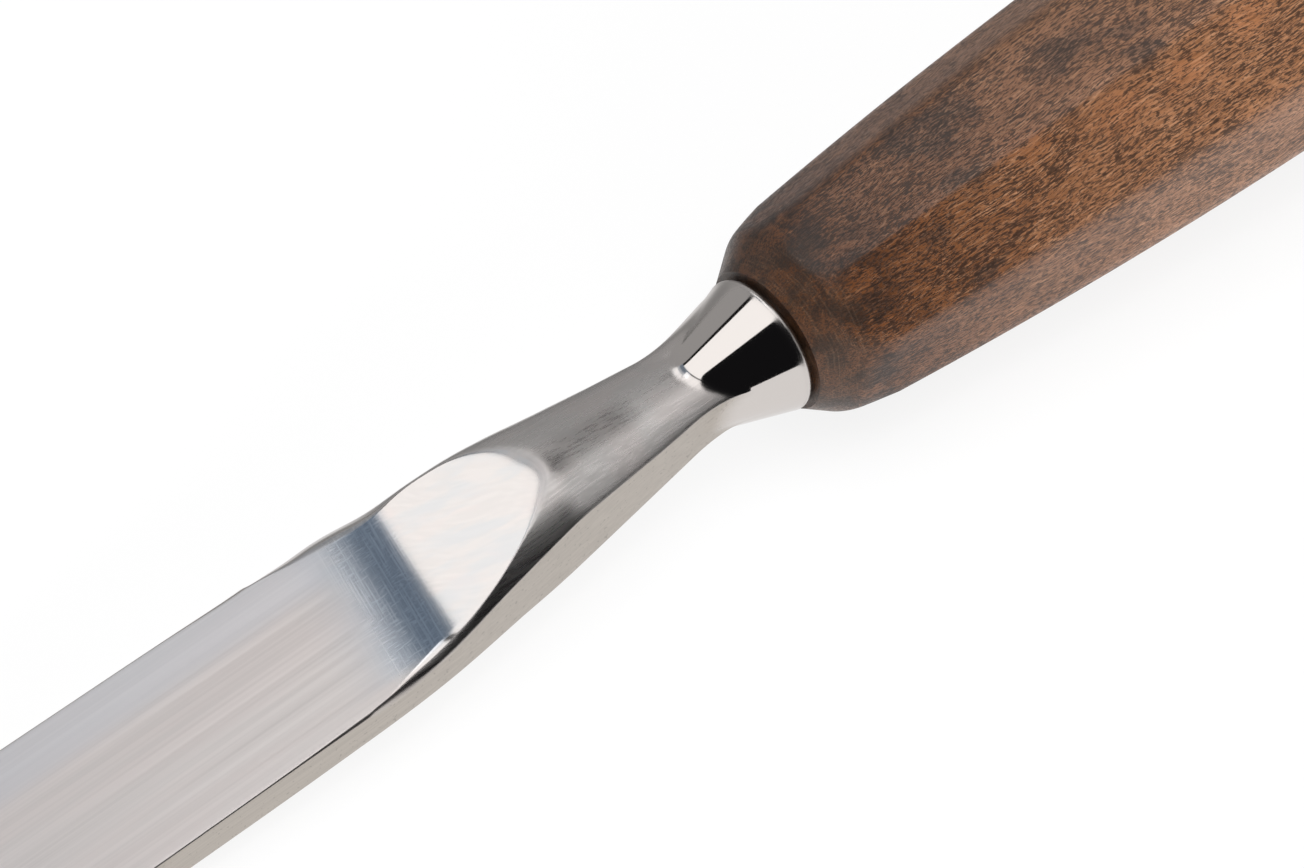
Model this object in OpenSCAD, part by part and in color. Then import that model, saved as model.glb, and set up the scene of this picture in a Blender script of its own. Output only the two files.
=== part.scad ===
// Flat carving chisel: a forged steel blade with neck, bolster and tang in one
// piece, driven into a faceted wooden handle that a steel ring keeps from splitting.
//
// Tool frame, used by every sub-part: X runs along the tool's axis towards the
// cutting edge, X = 0 is the bolster's seat on the handle, and Z is square to the
// blade's face. lay() then sets the whole tool down as it rests on a bench.

/* [Blade] */
// Length from the bolster's seat to the cutting edge
blade_l = 128; // [110:1:170]
// Width of the cutting edge
edge_w = 20; // [17:0.5:26]
// How much narrower the blade is at its shoulder than at its edge
blade_flare = 1; // [0:0.1:2]
// Thickness of the blade at its shoulder
shoulder_t = 4.15; // [3.6:0.05:5]
// Thickness of the blade just behind the bevels
tip_t = 3.45; // [2.6:0.05:3.6]
// Drop of the blade's middle plane below the tool's axis
blade_drop = 1.3; // [0.8:0.05:1.5]
// Included angle of the two bevels at the cutting edge
bevel_angle = 25; // [18:1:35]

/* [Shoulder] */
// Distance from the seat to the corner where the blade turns into the neck
shoulder_x = 50; // [46:0.5:56]
// Radius that rounds that corner, seen from above
shoulder_r = 120; // [60:5:140]
// Distance from the seat to the foot of the ground ramp
ramp_x = 47; // [44:0.2:50]
// Slope of the ramp, in degrees
ramp_angle = 15; // [13:0.2:17]
// Radius of the hollow at the foot of the ramp
ramp_r = 50; // [40:1:65]

/* [Neck] */
// Width of the neck at its narrowest
neck_w = 8.4; // [7.6:0.1:10]
// Distance from the seat to the narrowest place
neck_x = 9.6; // [8:0.2:12]
// Width that the neck's flanks reach inside the bolster
root_w = 13.2; // [12:0.1:13.6]
// Radius of the narrow place, seen from above
neck_r = 20; // [8:1:25]
// Height of the ridge above the axis at the bolster
ridge_root = 2.75; // [2.3:0.05:3.2]
// Height of the ridge above the axis at its crest
ridge_crest = 5.5; // [5.2:0.05:5.9]
// Distance from the seat to the crest
crest_x = 32; // [29:0.5:35]
// Radius of the rounded ridge, seen along the tool, as a share of the blade's width
ridge_share = 0.635; // [0.6:0.005:0.7]
// Depth of the keel below the axis at the bolster
keel_root = 1.8; // [1.5:0.1:2.6]
// Radius of the rounded keel, seen along the tool, as a share of the blade's width
keel_share = 1.4; // [1.2:0.05:1.8]
// Distance from the seat to the keel's deepest place
keel_x = 33; // [28:0.5:38]

/* [Bolster] */
// Diameter of the bolster's rim
bolster_d = 15.1; // [14.2:0.1:16]
// Taper of the bolster's side, in degrees
bolster_taper = 18; // [16:0.2:20]
// Radius that rounds the rim
rim_r = 0.6; // [0.2:0.1:1]

/* [Tang] */
// Length of the tang inside the handle
tang_l = 68; // [45:1:85]
// Side of the square tang at the bolster
tang_w = 7; // [5.5:0.1:7.2]
// Side of the square tang where its point starts
tang_end_w = 4.2; // [3:0.1:5]
// Length of the tang's point
tang_point = 5; // [3:0.5:8]

/* [Ring] */
// Outer diameter of the ring inside the handle's mouth
ring_d = 12; // [11.4:0.1:13]
// Wall of the ring
ring_wall = 0.7; // [0.5:0.1:0.75]
// Length of the ring
ring_l = 12; // [8:0.5:18]
// Height that the ring stands proud of the wood, which keeps a fine gap at the seat
seat_gap = 0.25; // [0.1:0.05:0.5]

/* [Handle] */
// Length of the handle
handle_l = 135; // [120:1:150]
// Width across flats at the belly
handle_w = 28.9; // [27:0.1:31]
// Distance from the front of the handle to its belly
belly_x = 82; // [72:1:90]
// Radius of the barrel curve of each flat
barrel_r = 730; // [600:10:900]
// Height that the turned corners stand above the flats
corner_h = 0.8; // [0.6:0.05:0.85]
// Diameter of the handle's mouth at the bolster
mouth_d = 15.4; // [14.8:0.1:16.4]
// Run of the mouth's slope along the axis
mouth_run = 4; // [3.2:0.1:4.8]
// Rise of the mouth's slope away from the axis
mouth_rise = 2.7; // [2.3:0.1:3]
// Radius that rounds the mouth's slope into the barrel
mouth_r = 4.2; // [2.4:0.2:5]
// Radius of the crown on the butt
crown_r = 42; // [30:1:60]
// Radius that rounds the edge of the butt
butt_r = 6; // [3:0.5:7]
// Clearance around everything set into the wood
wood_fit = 0.05; // [0.02:0.01:0.1]

/* [Hidden] */
$fn = 96;

flats = 8;
arc_steps = 10;
barrel_steps = 16;
overlap = 1;
far = 40;
skin = 0.5;
pilot_share = 1.06;

half_edge = edge_w / 2;
half_shoulder = half_edge - blade_flare / 2;
bolster_rad = bolster_d / 2;
belly_h = handle_w / 2;
crown_x = handle_l - crown_r;

// Blade thickness and the heights of its two faces at distance x from the seat
function blade_t(x) = tip_t + (shoulder_t - tip_t) * (blade_l - x) / (blade_l - shoulder_x);
function face_z(x) = blade_t(x) / 2 - blade_drop;
function back_z(x) = -blade_t(x) / 2 - blade_drop;
face_fall = (shoulder_t - tip_t) / 2 / (blade_l - shoulder_x);
bevel_x = blade_l - tip_t / 2 / (tan(bevel_angle / 2) - face_fall);
heel_z = back_z(bevel_x);

// Half the neck's width at distance x, between its narrowest place and the shoulder
function neck_half(x) =
    neck_w / 2 + (half_shoulder - neck_w / 2) * (x - neck_x) / (shoulder_x - neck_x);

// Ridge and keel are rounds of one radius each. The ridge falls until the neck's edges
// sink into the blade's face, just past the shoulder's rounding. The keel starts a
// little below the blade's back and rises into it at the same distance
ridge_r = edge_w * ridge_share;
keel_r = edge_w * keel_share;
function round_drop(r, y) = r - sqrt(r * r - y * y);
shoulder_turn = atan((half_shoulder - neck_w / 2) / (shoulder_x - neck_x));
fall_x = shoulder_x + shoulder_r * tan(shoulder_turn / 2) + overlap;
fall_z = face_z(fall_x) + round_drop(ridge_r, half_shoulder);
keel_z = round_drop(keel_r, neck_half(keel_x) + 2 * skin) - back_z(keel_x);

// The tool lies on one flat of the handle and on the heel of its lower bevel: the
// tangent from the heel to that flat's barrel curve gives the tilt
barrel_dx = belly_x + bevel_x;
barrel_dz = barrel_r - belly_h - heel_z;
rest_tilt = asin(barrel_r / norm([barrel_dx, barrel_dz])) - atan2(barrel_dz, barrel_dx);
rest_lift = bevel_x * sin(rest_tilt) - heel_z * cos(rest_tilt);
front_reach = blade_l * cos(rest_tilt) - blade_drop * sin(rest_tilt);
back_reach = crown_x * cos(rest_tilt) + crown_r;

function unit(v) = v / norm(v);

// Height at distance x of the straight line through a and b
function line_z(a, b, x) = a.y + (b.y - a.y) * (x - a.x) / (b.x - a.x);

// Points of the arc of radius r that rounds the corner p between a and b
function corner_arc(a, p, b, r) =
    let (u = unit(a - p), v = unit(b - p))
    let (half = acos(u * v) / 2)
    let (centre = p + unit(u + v) * r / sin(half))
    let (from = p + u * r / tan(half) - centre, to = p + v * r / tan(half) - centre)
    let (turn = atan2(from.x * to.y - from.y * to.x, from * to))
    [for (i = [0 : arc_steps])
        let (t = turn * i / arc_steps)
        centre + [from.x * cos(t) - from.y * sin(t), from.x * sin(t) + from.y * cos(t)]];

// An open path whose corners [x, y, radius] are rounded where the radius is above zero
function rounded(path) =
    [for (i = [0 : len(path) - 1])
        let (p = [path[i].x, path[i].y])
        each path[i][2] > 0
            ? corner_arc([path[i - 1].x, path[i - 1].y], p, [path[i + 1].x, path[i + 1].y], path[i][2])
            : [p]];

// A side view, drawn in X and Z, carried straight across the tool
module across() {
    rotate([90, 0, 0])
        linear_extrude(height = 2 * far, center = true)
            children();
}

// Turns a profile, drawn as distance along the axis and radius, about the X axis
module turned() {
    rotate([0, 90, 0])
        rotate_extrude()
            mirror([1, 0])
                rotate(90)
                    children();
}

// Sets the finished tool down on the bench, centred over the origin
module lay() {
    translate([(back_reach - front_reach) / 2, 0, rest_lift])
        rotate([0, rest_tilt, 0])
            children();
}

// Blade, neck and bolster

module plan() {
    past_edge = blade_l + overlap;
    edge = rounded([
        [overlap, root_w / 2, 0],
        [neck_x, neck_w / 2, neck_r],
        [shoulder_x, half_shoulder, shoulder_r],
        [past_edge, line_z([shoulder_x, half_shoulder], [blade_l, half_edge], past_edge), 0]
    ]);
    linear_extrude(height = 2 * far, center = true)
        polygon(concat(edge, [for (i = [len(edge) - 1 : -1 : 0]) [edge[i].x, -edge[i].y]]));
}

// A long bar of radius r whose top line runs through a and b of the side view
module crest_bar(a, b, r) {
    translate([a.x, 0, a.y])
        rotate([0, -atan2(b.y - a.y, b.x - a.x), 0])
            translate([-far, 0, -r])
                rotate([0, 90, 0])
                    cylinder(r = r, h = blade_l + 2 * far);
}

// What lies below the whole chain of crests
module below_crests(path, r) {
    intersection_for (i = [0 : len(path) - 2])
        crest_bar(path[i], path[i + 1], r);
}

// The forged neck between its rounded ridge above and its shallow keel below
module neck() {
    root = [0, ridge_root];
    crest = [crest_x, ridge_crest];
    fall = [fall_x, fall_z];
    intersection() {
        below_crests([
            root,
            crest,
            fall
        ], ridge_r);
        mirror([0, 0, 1])
            below_crests([
                [0, keel_root],
                [keel_x, keel_z],
                [fall_x, -back_z(fall_x)]
            ], keel_r);
    }
}

// The plate of the blade. Its flat back runs on below the neck until it fades out there
module plate() {
    end_x = blade_l + 2 * overlap;
    across()
        polygon([
            [keel_x, back_z(keel_x)],
            [end_x, back_z(end_x)],
            [end_x, far],
            [fall_x + overlap, far],
            [fall_x + overlap, face_z(fall_x) - skin],
            [keel_x, face_z(keel_x) - skin]
        ]);
}

// What grinding leaves: the ramp and its hollow, the flat face and both bevels
module ground() {
    ramp_l = ramp_x + overlap;
    below_x = 2 * bevel_x - blade_l;
    face = rounded([
        [-overlap, face_z(ramp_x) + ramp_l * tan(ramp_angle), 0],
        [ramp_x, face_z(ramp_x), ramp_r],
        [bevel_x, face_z(bevel_x), 0]
    ]);
    across()
        polygon(concat(face, [
            [blade_l, -blade_drop],
            [below_x, 2 * heel_z + blade_drop],
            [below_x, -far],
            [-overlap, -far]
        ]));
}

module bolster() {
    nose_x = bolster_rad / tan(bolster_taper);
    turned()
        polygon(concat(
            [[0, 0]],
            rounded([
                [0, tang_w / 2, 0],
                [0, bolster_rad, rim_r],
                [nose_x, 0, 0]
            ])));
}

// Square tapered tang with a point, grown on every side by the given clearance
module tang(grow) {
    profile = [
        [overlap, tang_w / 2 + grow],
        [0, tang_w / 2 + grow],
        [tang_point - tang_l, tang_end_w / 2 + grow],
        [-tang_l - grow, tang_end_w / 8 + grow]
    ];
    outline = concat(profile, [for (i = [len(profile) - 1 : -1 : 0]) [profile[i].x, -profile[i].y]]);
    intersection() {
        across() polygon(outline);
        rotate([90, 0, 0]) across() polygon(outline);
    }
}

module blade_forging() {
    color("lightsteelblue") {
        intersection() {
            plan();
            ground();
            union() {
                neck();
                plate();
            }
        }
        bolster();
        tang(0);
    }
}

// Ring

module inner_ring() {
    color("slategray")
        turned()
            translate([-ring_l, ring_d / 2 - ring_wall])
                square([ring_l, ring_wall]);
}

// Handle

// Half the width across flats at distance q behind the front of the handle
function barrel_h(q) = belly_h - barrel_r + sqrt(barrel_r * barrel_r - pow(q - belly_x, 2));

// Distance of the butt's crown behind the front of the handle, at height h off the axis
function crown_q(h) = crown_x + sqrt(crown_r * crown_r - h * h);

module turned_blank() {
    slope_end = mouth_run + mouth_r;
    edge_q = handle_l - 2 * butt_r;
    edge_h = barrel_h(handle_l) + corner_h;
    mouth = rounded([
        [-seat_gap, mouth_d / 2, 0],
        [-mouth_run, mouth_d / 2 + mouth_rise, mouth_r],
        [-slope_end, barrel_h(slope_end) + corner_h, 0]
    ]);
    barrel = [for (i = [1 : barrel_steps - 1])
        let (q = slope_end + (edge_q - slope_end) * i / barrel_steps)
        [-q, barrel_h(q) + corner_h]];
    butt = rounded([
        [-edge_q, barrel_h(edge_q) + corner_h, 0],
        [-crown_q(edge_h), edge_h, butt_r],
        [-crown_q(edge_h - butt_r), edge_h - butt_r, 0]
    ]);
    crown = [for (i = [1 : arc_steps])
        let (h = (edge_h - butt_r) * (1 - i / arc_steps))
        [-crown_q(h), h]];
    turned()
        polygon(concat([[-seat_gap, 0]], mouth, barrel, butt, crown));
}

module flat_pair() {
    across()
        intersection_for (side = [-1, 1])
            translate([-belly_x, side * (barrel_r - belly_h)])
                circle(barrel_r, $fn = 6 * $fn);
}

// Stepped pilot hole that the tang is driven into, and the seat of the ring
module tang_hole() {
    tang(wood_fit);
    for (step = [[tang_l / 2, tang_w], [tang_l, tang_end_w]])
        rotate([0, -90, 0])
            cylinder(h = step[0], d = step[1] * pilot_share);
    rotate([0, -90, 0])
        cylinder(h = ring_l + wood_fit, d = ring_d + 2 * wood_fit);
}

module handle() {
    color("saddlebrown")
        difference() {
            intersection() {
                turned_blank();
                intersection_for (i = [0 : flats / 2 - 1])
                    rotate([i * 360 / flats, 0, 0])
                        flat_pair();
            }
            tang_hole();
        }
}

lay() blade_forging();
lay() handle();
lay() inner_ring();
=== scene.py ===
"""Flat carving chisel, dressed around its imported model.

A forged steel blade with ramp, neck, bolster and tang stands in an eight-sided handle
of stained wood. Sizes are millimetres in the tool frame: X runs along the axis to the
cutting edge, X = 0 is the bolster's seat, Z is square to the blade's face, and the
near side is the one towards +Y.
"""

import logging
import math
from dataclasses import dataclass, field
from enum import Enum
from typing import Sequence

import bpy
import numpy as np
from mathutils import Matrix, Vector


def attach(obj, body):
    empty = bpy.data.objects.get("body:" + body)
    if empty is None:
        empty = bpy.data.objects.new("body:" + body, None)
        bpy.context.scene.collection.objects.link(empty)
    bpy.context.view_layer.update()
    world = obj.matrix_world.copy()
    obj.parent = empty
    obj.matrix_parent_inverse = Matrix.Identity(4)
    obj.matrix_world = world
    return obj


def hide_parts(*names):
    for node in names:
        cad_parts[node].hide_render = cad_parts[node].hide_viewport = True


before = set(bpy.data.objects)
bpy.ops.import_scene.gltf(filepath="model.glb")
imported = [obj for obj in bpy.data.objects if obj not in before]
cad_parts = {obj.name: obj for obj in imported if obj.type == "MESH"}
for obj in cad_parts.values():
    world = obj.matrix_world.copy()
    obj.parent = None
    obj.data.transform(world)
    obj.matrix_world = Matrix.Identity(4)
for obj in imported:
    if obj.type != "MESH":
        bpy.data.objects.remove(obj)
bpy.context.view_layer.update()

logging.basicConfig(level=logging.INFO, format="%(message)s")
LOG = logging.getLogger("chisel")

MM = 0.001
BODY = "root"
CRISP_ANGLE = 50.0

Triple = tuple[float, float, float]
Colour = Triple
Corner = Triple
Spot = tuple[float, float, float, float]
Span = tuple[float, float]
Values = np.ndarray | float
Socket = bpy.types.NodeSocket


class Slot(Enum):
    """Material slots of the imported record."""

    STEEL = "tool_steel"
    WOOD = "stained_wood"


class Facing(Enum):
    """Which way a panel of light faces."""

    DOWN = "straight down"
    ACROSS = "level, towards the middle"
    TOOL = "at the tool"


def smooth_step(low: float, high: float, x: Values) -> np.ndarray:
    """Eases from 0 at low to 1 at high.

    Args:
        low: Where the ease starts.
        high: Where the ease ends.
        x: Places to evaluate.

    Returns:
        The eased values.
    """
    t = np.clip((np.asarray(x, float) - low) / (high - low), 0.0, 1.0)
    return t * t * (3.0 - 2.0 * t)


def soft_max(a: np.ndarray, b: Values, width: Values) -> np.ndarray:
    """The larger of two values, with the corner between them filled.

    Args:
        a: First values.
        b: Second values.
        width: Difference below which the corner is rounded.

    Returns:
        The rounded maximum.
    """
    width = np.maximum(width, 1e-9)
    near = np.maximum(width - np.abs(a - b), 0.0)
    return np.maximum(a, b) + near * near / (4.0 * width)


def soft_min(a: Values, b: Values, width: float) -> np.ndarray:
    """The smaller of two values, with the corner between them rolled over.

    Args:
        a: First values.
        b: Second values.
        width: Difference below which the corner is rounded.

    Returns:
        The rounded minimum.
    """
    return -soft_max(-np.asarray(a, float), -np.asarray(b, float), width)


def round_drop(radius: float, y: Values) -> np.ndarray:
    """How far a round of that radius falls away at distance y from its top line."""
    return radius - np.sqrt(radius * radius - np.square(y))


@dataclass(frozen=True)
class Hump:
    """A soft hump along the tool, which may reach further ahead than behind."""

    height: float
    at: float
    reach: float
    reach_ahead: float | None = None

    def on(self, x: float) -> float:
        """Height of the hump.

        Args:
            x: Distance along the tool.

        Returns:
            The height there.
        """
        ahead = self.reach_ahead is not None and x >= self.at
        reach = self.reach_ahead if ahead else self.reach
        return self.height * math.exp(-(((x - self.at) / reach) ** 2))


@dataclass(frozen=True)
class Profile:
    """A height that follows a line with rounded corners along the tool."""

    xs: np.ndarray
    ys: np.ndarray

    @classmethod
    def through(cls, corners: Sequence[Corner], steps: int = 48) -> "Profile":
        """Draws the line.

        Args:
            corners: Each corner's distance, height and rounding radius.
            steps: Points on each rounded corner.

        Returns:
            The profile through those corners.
        """
        points: list[np.ndarray] = []
        for i, (x, y, radius) in enumerate(corners):
            corner = np.array([x, y])
            if radius <= 0:
                points.append(corner)
                continue
            back = np.array(corners[i - 1][:2]) - corner
            ahead = np.array(corners[i + 1][:2]) - corner
            back, ahead = back / np.linalg.norm(back), ahead / np.linalg.norm(ahead)
            half = math.acos(float(np.clip(back @ ahead, -1, 1))) / 2
            middle = back + ahead
            centre = corner + middle / np.linalg.norm(middle) * radius / math.sin(half)
            first = corner + back * radius / math.tan(half) - centre
            last = corner + ahead * radius / math.tan(half) - centre
            turn = math.atan2(first[0] * last[1] - first[1] * last[0], float(first @ last))
            for k in range(steps + 1):
                c, s = math.cos(turn * k / steps), math.sin(turn * k / steps)
                points.append(centre + [first[0] * c - first[1] * s, first[0] * s + first[1] * c])
        table = np.array(points)
        return cls(table[:, 0], table[:, 1])

    def at(self, x: Values) -> Values:
        """Height at distance x."""
        return np.interp(x, self.xs, self.ys)


@dataclass(frozen=True)
class Rest:
    """How the tool lies on the bench: nose down, on a flat and on the bevel's heel."""

    tilt: float
    shift: Triple

    def turn(self) -> Matrix:
        """Rotation from the tool frame to the bench."""
        return Matrix.Rotation(self.tilt, 3, "Y")

    def place(self, points: np.ndarray) -> np.ndarray:
        """Sets points down on the bench.

        Args:
            points: Tool-frame points in millimetres, one per row.

        Returns:
            The same points on the bench, in metres.
        """
        return (points @ np.array(self.turn()).T + np.array(self.shift)) * MM


class Skin:
    """A closed skin drawn through rings of points, one ring after another."""

    def __init__(self, name: str, rest: Rest) -> None:
        """Starts an empty skin.

        Args:
            name: Name of the finished piece.
            rest: How the tool lies.
        """
        self.name = name
        self.rest = rest
        self.rings: list[np.ndarray] = []
        self.marks: dict[str, list[np.ndarray]] = {}

    def add(self, points: np.ndarray, **marks: Values) -> None:
        """Adds one ring.

        Args:
            points: Tool-frame points of the ring, in order round it.
            **marks: Values to keep on the ring's points, by name.
        """
        self.rings.append(points)
        for key, value in marks.items():
            row = np.broadcast_to(value, len(points)).astype(float)
            self.marks.setdefault(key, []).append(row)

    def build(self) -> bpy.types.Object:
        """Draws the skin as one closed mesh.

        Returns:
            The finished object.
        """
        rows, around = len(self.rings), len(self.rings[0])
        length = float(rows - 1)
        bpy.ops.object.select_all(action="DESELECT")
        bpy.ops.mesh.primitive_cylinder_add(
            vertices=around, radius=1.0, depth=length, end_fill_type="TRIFAN", location=(0, 0, 0)
        )
        skin = bpy.context.active_object
        skin.name = skin.data.name = self.name
        mesh = skin.data
        bpy.ops.object.mode_set(mode="EDIT")
        bpy.ops.mesh.select_mode(type="EDGE")
        bpy.ops.mesh.select_all(action="DESELECT")
        bpy.ops.object.mode_set(mode="OBJECT")
        for edge in mesh.edges:
            a, b = (mesh.vertices[i].co for i in edge.vertices)
            edge.select = abs(a.z - b.z) > 0.5 * length
        bpy.ops.object.mode_set(mode="EDIT")
        bpy.ops.mesh.subdivide_edgering(
            number_cuts=rows - 2, interpolation="LINEAR", smoothness=0.0
        )
        bpy.ops.object.mode_set(mode="OBJECT")
        self._settle(mesh, rows, around)
        bpy.ops.object.mode_set(mode="EDIT")
        bpy.ops.mesh.select_all(action="SELECT")
        bpy.ops.mesh.normals_make_consistent(inside=False)
        bpy.ops.object.mode_set(mode="OBJECT")
        bpy.ops.object.shade_smooth_by_angle(angle=math.radians(CRISP_ANGLE))
        bpy.ops.object.select_all(action="DESELECT")
        return skin

    def _settle(self, mesh: bpy.types.Mesh, rows: int, around: int) -> None:
        """Moves every point of the plain tube to its own ring.

        Args:
            mesh: The tube, one unit between rows.
            rows: Number of rings.
            around: Points on each ring.
        """
        start = np.empty(len(mesh.vertices) * 3)
        mesh.vertices.foreach_get("co", start)
        start = start.reshape(-1, 3)
        row = np.clip(np.rint(start[:, 2] + (rows - 1) / 2), 0, rows - 1).astype(int)
        turn = np.arctan2(start[:, 0], start[:, 1]) / (2 * math.pi) * around
        spot = np.rint(turn).astype(int) % around
        pole = np.hypot(start[:, 0], start[:, 1]) < 0.5
        rings = np.array(self.rings)
        end = rings[row, spot]
        end[pole] = rings[row[pole]].mean(axis=1)
        mesh.vertices.foreach_set("co", self.rest.place(end).ravel())
        for key, values in self.marks.items():
            table = np.array(values)
            layer = mesh.attributes.new(key, "FLOAT", "POINT")
            layer.data.foreach_set("value", table[row, spot].astype(np.float32))
        mesh.update()


def ring(x: float, turn: np.ndarray, radius: Values) -> np.ndarray:
    """Points round the tool's axis.

    Args:
        x: Distance from the seat.
        turn: Angle of each point.
        radius: Distance of the points from the axis.

    Returns:
        The ring's points.
    """
    return np.column_stack([np.full_like(turn, x), radius * np.cos(turn), radius * np.sin(turn)])


def square_share(turn: np.ndarray) -> np.ndarray:
    """How far a square reaches at each angle, against its half width."""
    return 1.0 / np.maximum(np.abs(np.cos(turn)), np.abs(np.sin(turn)))


@dataclass
class Forging:
    """Blade, ramp, neck, bolster and tang, one piece of steel."""

    # Blade
    blade_l: float = 128.0
    edge_w: float = 20.0
    blade_flare: float = 1.0
    shoulder_t: float = 4.15
    tip_t: float = 3.45
    blade_drop: float = 1.3
    bevel_angle: float = 25.0
    shoulder_x: float = 50.0
    shoulder_r: float = 120.0
    back_roll: float = 0.12
    fall_run: float = 1.0
    # Ground ramp and its rubbed rim
    ramp_x: float = 47.0
    ramp_angle: float = 15.0
    ramp_r: float = 50.0
    ramp_skew: float = 0.17
    skew_fade: Span = (20.0, 10.0)
    rub: float = 0.06
    rub_apex: float = 0.15
    rub_apex_run: Span = (31.0, 36.0)
    rub_foot: Hump = Hump(0.65, 47.5, 4.5)
    rim_reach: float = 0.2
    rim_run: Span = (30.0, 35.0)
    ground_edge: float = 0.03
    # Neck: its flanks, roof and keel
    neck_w: float = 8.4
    neck_x: float = 9.6
    neck_r: float = 20.0
    root_w: float = 13.0
    root_x: float = -2.0
    ridge_root: float = 3.4
    ridge_line: tuple[Corner, ...] = (
        (18.0, 4.50, 60.0), (29.0, 5.68, 16.0), (39.5, 5.15, 60.0), (46.5, 4.42, 40.0),
        (51.5, 4.22, 20.0),
    )
    ridge_r: float = 13.0
    ridge_root_r: float = 8.2
    ridge_r_run: Span = (8.0, 34.0)
    roof_clear: float = 3.0
    roof_share: float = 0.95
    fold: float = 0.10
    fold_y: float = 0.2
    fold_half: float = 1.7
    fold_run: Span = (25.5, 30.0)
    far_slack: Hump = Hump(0.65, 43.0, 3.5)
    far_slack_y: Span = (5.0, 8.0)
    far_lift: Hump = Hump(0.3, 33.5, 3.5)
    far_lift_y: Span = (1.0, 5.0)
    far_swell: Hump = Hump(0.95, 47.5, 4.2, 6.0)
    keel_root: float = 1.8
    keel_x: float = 33.0
    keel_r: float = 28.0
    keel_turn_r: float = 58.0
    keel_spare: float = 1.0
    keel_fade: float = 1.0
    keel_clear: float = 2.0
    edge_r: float = 0.18
    edge_foot: Hump = Hump(0.3, 55.0, 8.0)
    edge_far: Hump = Hump(0.9, 28.0, 9.0)
    edge_share: float = 0.3
    # Bolster and its fillets
    bolster_d: float = 15.1
    bolster_taper: float = 18.0
    seat_r: float = 5.2
    rim_r: float = 0.8
    rim_steps: int = 10
    rim_gap: float = 0.05
    roof_fillet: float = 0.35
    near_fillet: float = 1.4
    near_lean: Span = (0.955, 0.998)
    far_fillet: float = 2.2
    far_lean: Span = (0.50, 0.85)
    fillet_in: Span = (0.6, 3.0)
    fillet_out: Span = (12.0, 19.0)
    collar_run: Span = (-0.6, 0.4)
    # Tang
    tang_l: float = 68.0
    tang_w: float = 7.0
    tang_end_w: float = 4.2
    tang_point: float = 5.0
    tang_rings: tuple[float, ...] = (-45.0, -25.0, -10.0, -0.2, 0.0)
    # Where sections are drawn: start, end and step along the neck and ramp, then the blade
    neck_run: Triple = (1.0, 16.0, 0.3)
    ramp_run: Triple = (16.0, 62.0, 0.16)
    blade_step: float = 2.0
    heel_step: float = 0.15
    bevel_points: int = 7
    # Points on each half section
    top_points: int = 34
    corner_points: int = 7
    flank_points: int = 6
    keel_points: int = 20
    trial_points: int = 400
    rim_crowd: float = 5.0
    rim_crowd_reach: float = 0.15
    # Lines that the sections follow
    half_width: Profile = field(init=False)
    crest: Profile = field(init=False)
    depth: Profile = field(init=False)
    face: Profile = field(init=False)
    tang: Profile = field(init=False)

    def __post_init__(self) -> None:
        """Works out the lines that the sections follow."""
        half_shoulder = (self.edge_w - self.blade_flare) / 2
        fall = (self.shoulder_t - self.tip_t) / 2 / (self.blade_l - self.shoulder_x)
        bevel_l = self.tip_t / 2 / (math.tan(math.radians(self.bevel_angle / 2)) - fall)
        self.bevel_x = self.blade_l - bevel_l
        neck_grow = (half_shoulder - self.neck_w / 2) / (self.shoulder_x - self.neck_x)
        self.fall_x = self.shoulder_x + self.shoulder_r * math.tan(math.atan(neck_grow) / 2)
        self.fall_x += self.fall_run
        fall_z = self.face_z(self.fall_x) + float(round_drop(self.ridge_r, half_shoulder))
        keel_half = self.neck_w / 2 + neck_grow * (self.keel_x - self.neck_x)
        keel_half += self.keel_spare
        keel_z = float(round_drop(self.keel_r, keel_half)) - self.back_z(self.keel_x)
        ramp_z = self.face_z(self.ramp_x)
        ramp_rise = self.ramp_x * math.tan(math.radians(self.ramp_angle))
        self.half_width = Profile.through([
            (self.root_x, self.root_w / 2, 0),
            (self.neck_x, self.neck_w / 2, self.neck_r),
            (self.shoulder_x, half_shoulder, self.shoulder_r),
            (self.blade_l, self.edge_w / 2, 0),
        ])
        self.crest = Profile.through([
            (0, self.ridge_root, 0),
            *self.ridge_line,
            (self.fall_x, fall_z, 0),
            (self.blade_l, fall_z, 0),
        ])
        self.depth = Profile.through([
            (0, self.keel_root, 0),
            (self.keel_x, keel_z, self.keel_turn_r),
            (self.fall_x, -self.back_z(self.fall_x), 0),
            (self.blade_l, 0.0, 0),
        ])
        self.face = Profile.through([
            (0, ramp_z + ramp_rise, 0),
            (self.ramp_x, ramp_z, self.ramp_r),
            (self.bevel_x, self.face_z(self.bevel_x), 0),
            (self.blade_l, -self.blade_drop, 0),
        ])
        self.tang = Profile.through([
            (-self.tang_l, self.tang_end_w / 8, 0),
            (self.tang_point - self.tang_l, self.tang_end_w / 2, 0),
            (0, self.tang_w / 2, 0),
        ])

    def blade_t(self, x: float) -> float:
        """Thickness of the blade at distance x."""
        share = (self.blade_l - x) / (self.blade_l - self.shoulder_x)
        return self.tip_t + (self.shoulder_t - self.tip_t) * share

    def face_z(self, x: float) -> float:
        """Height of the blade's face at distance x."""
        return self.blade_t(x) / 2 - self.blade_drop

    def back_z(self, x: float) -> float:
        """Height of the blade's back, its lower bevel included.

        Args:
            x: Distance from the seat.

        Returns:
            The height there.
        """
        flat = -self.blade_t(x) / 2 - self.blade_drop
        slope = math.tan(math.radians(self.bevel_angle / 2))
        return max(flat, -self.blade_drop - (self.blade_l - x) * slope)

    def rest_point(self) -> Span:
        """The heel of the lower bevel, on which the blade lies."""
        return self.bevel_x, self.back_z(self.bevel_x)

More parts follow.
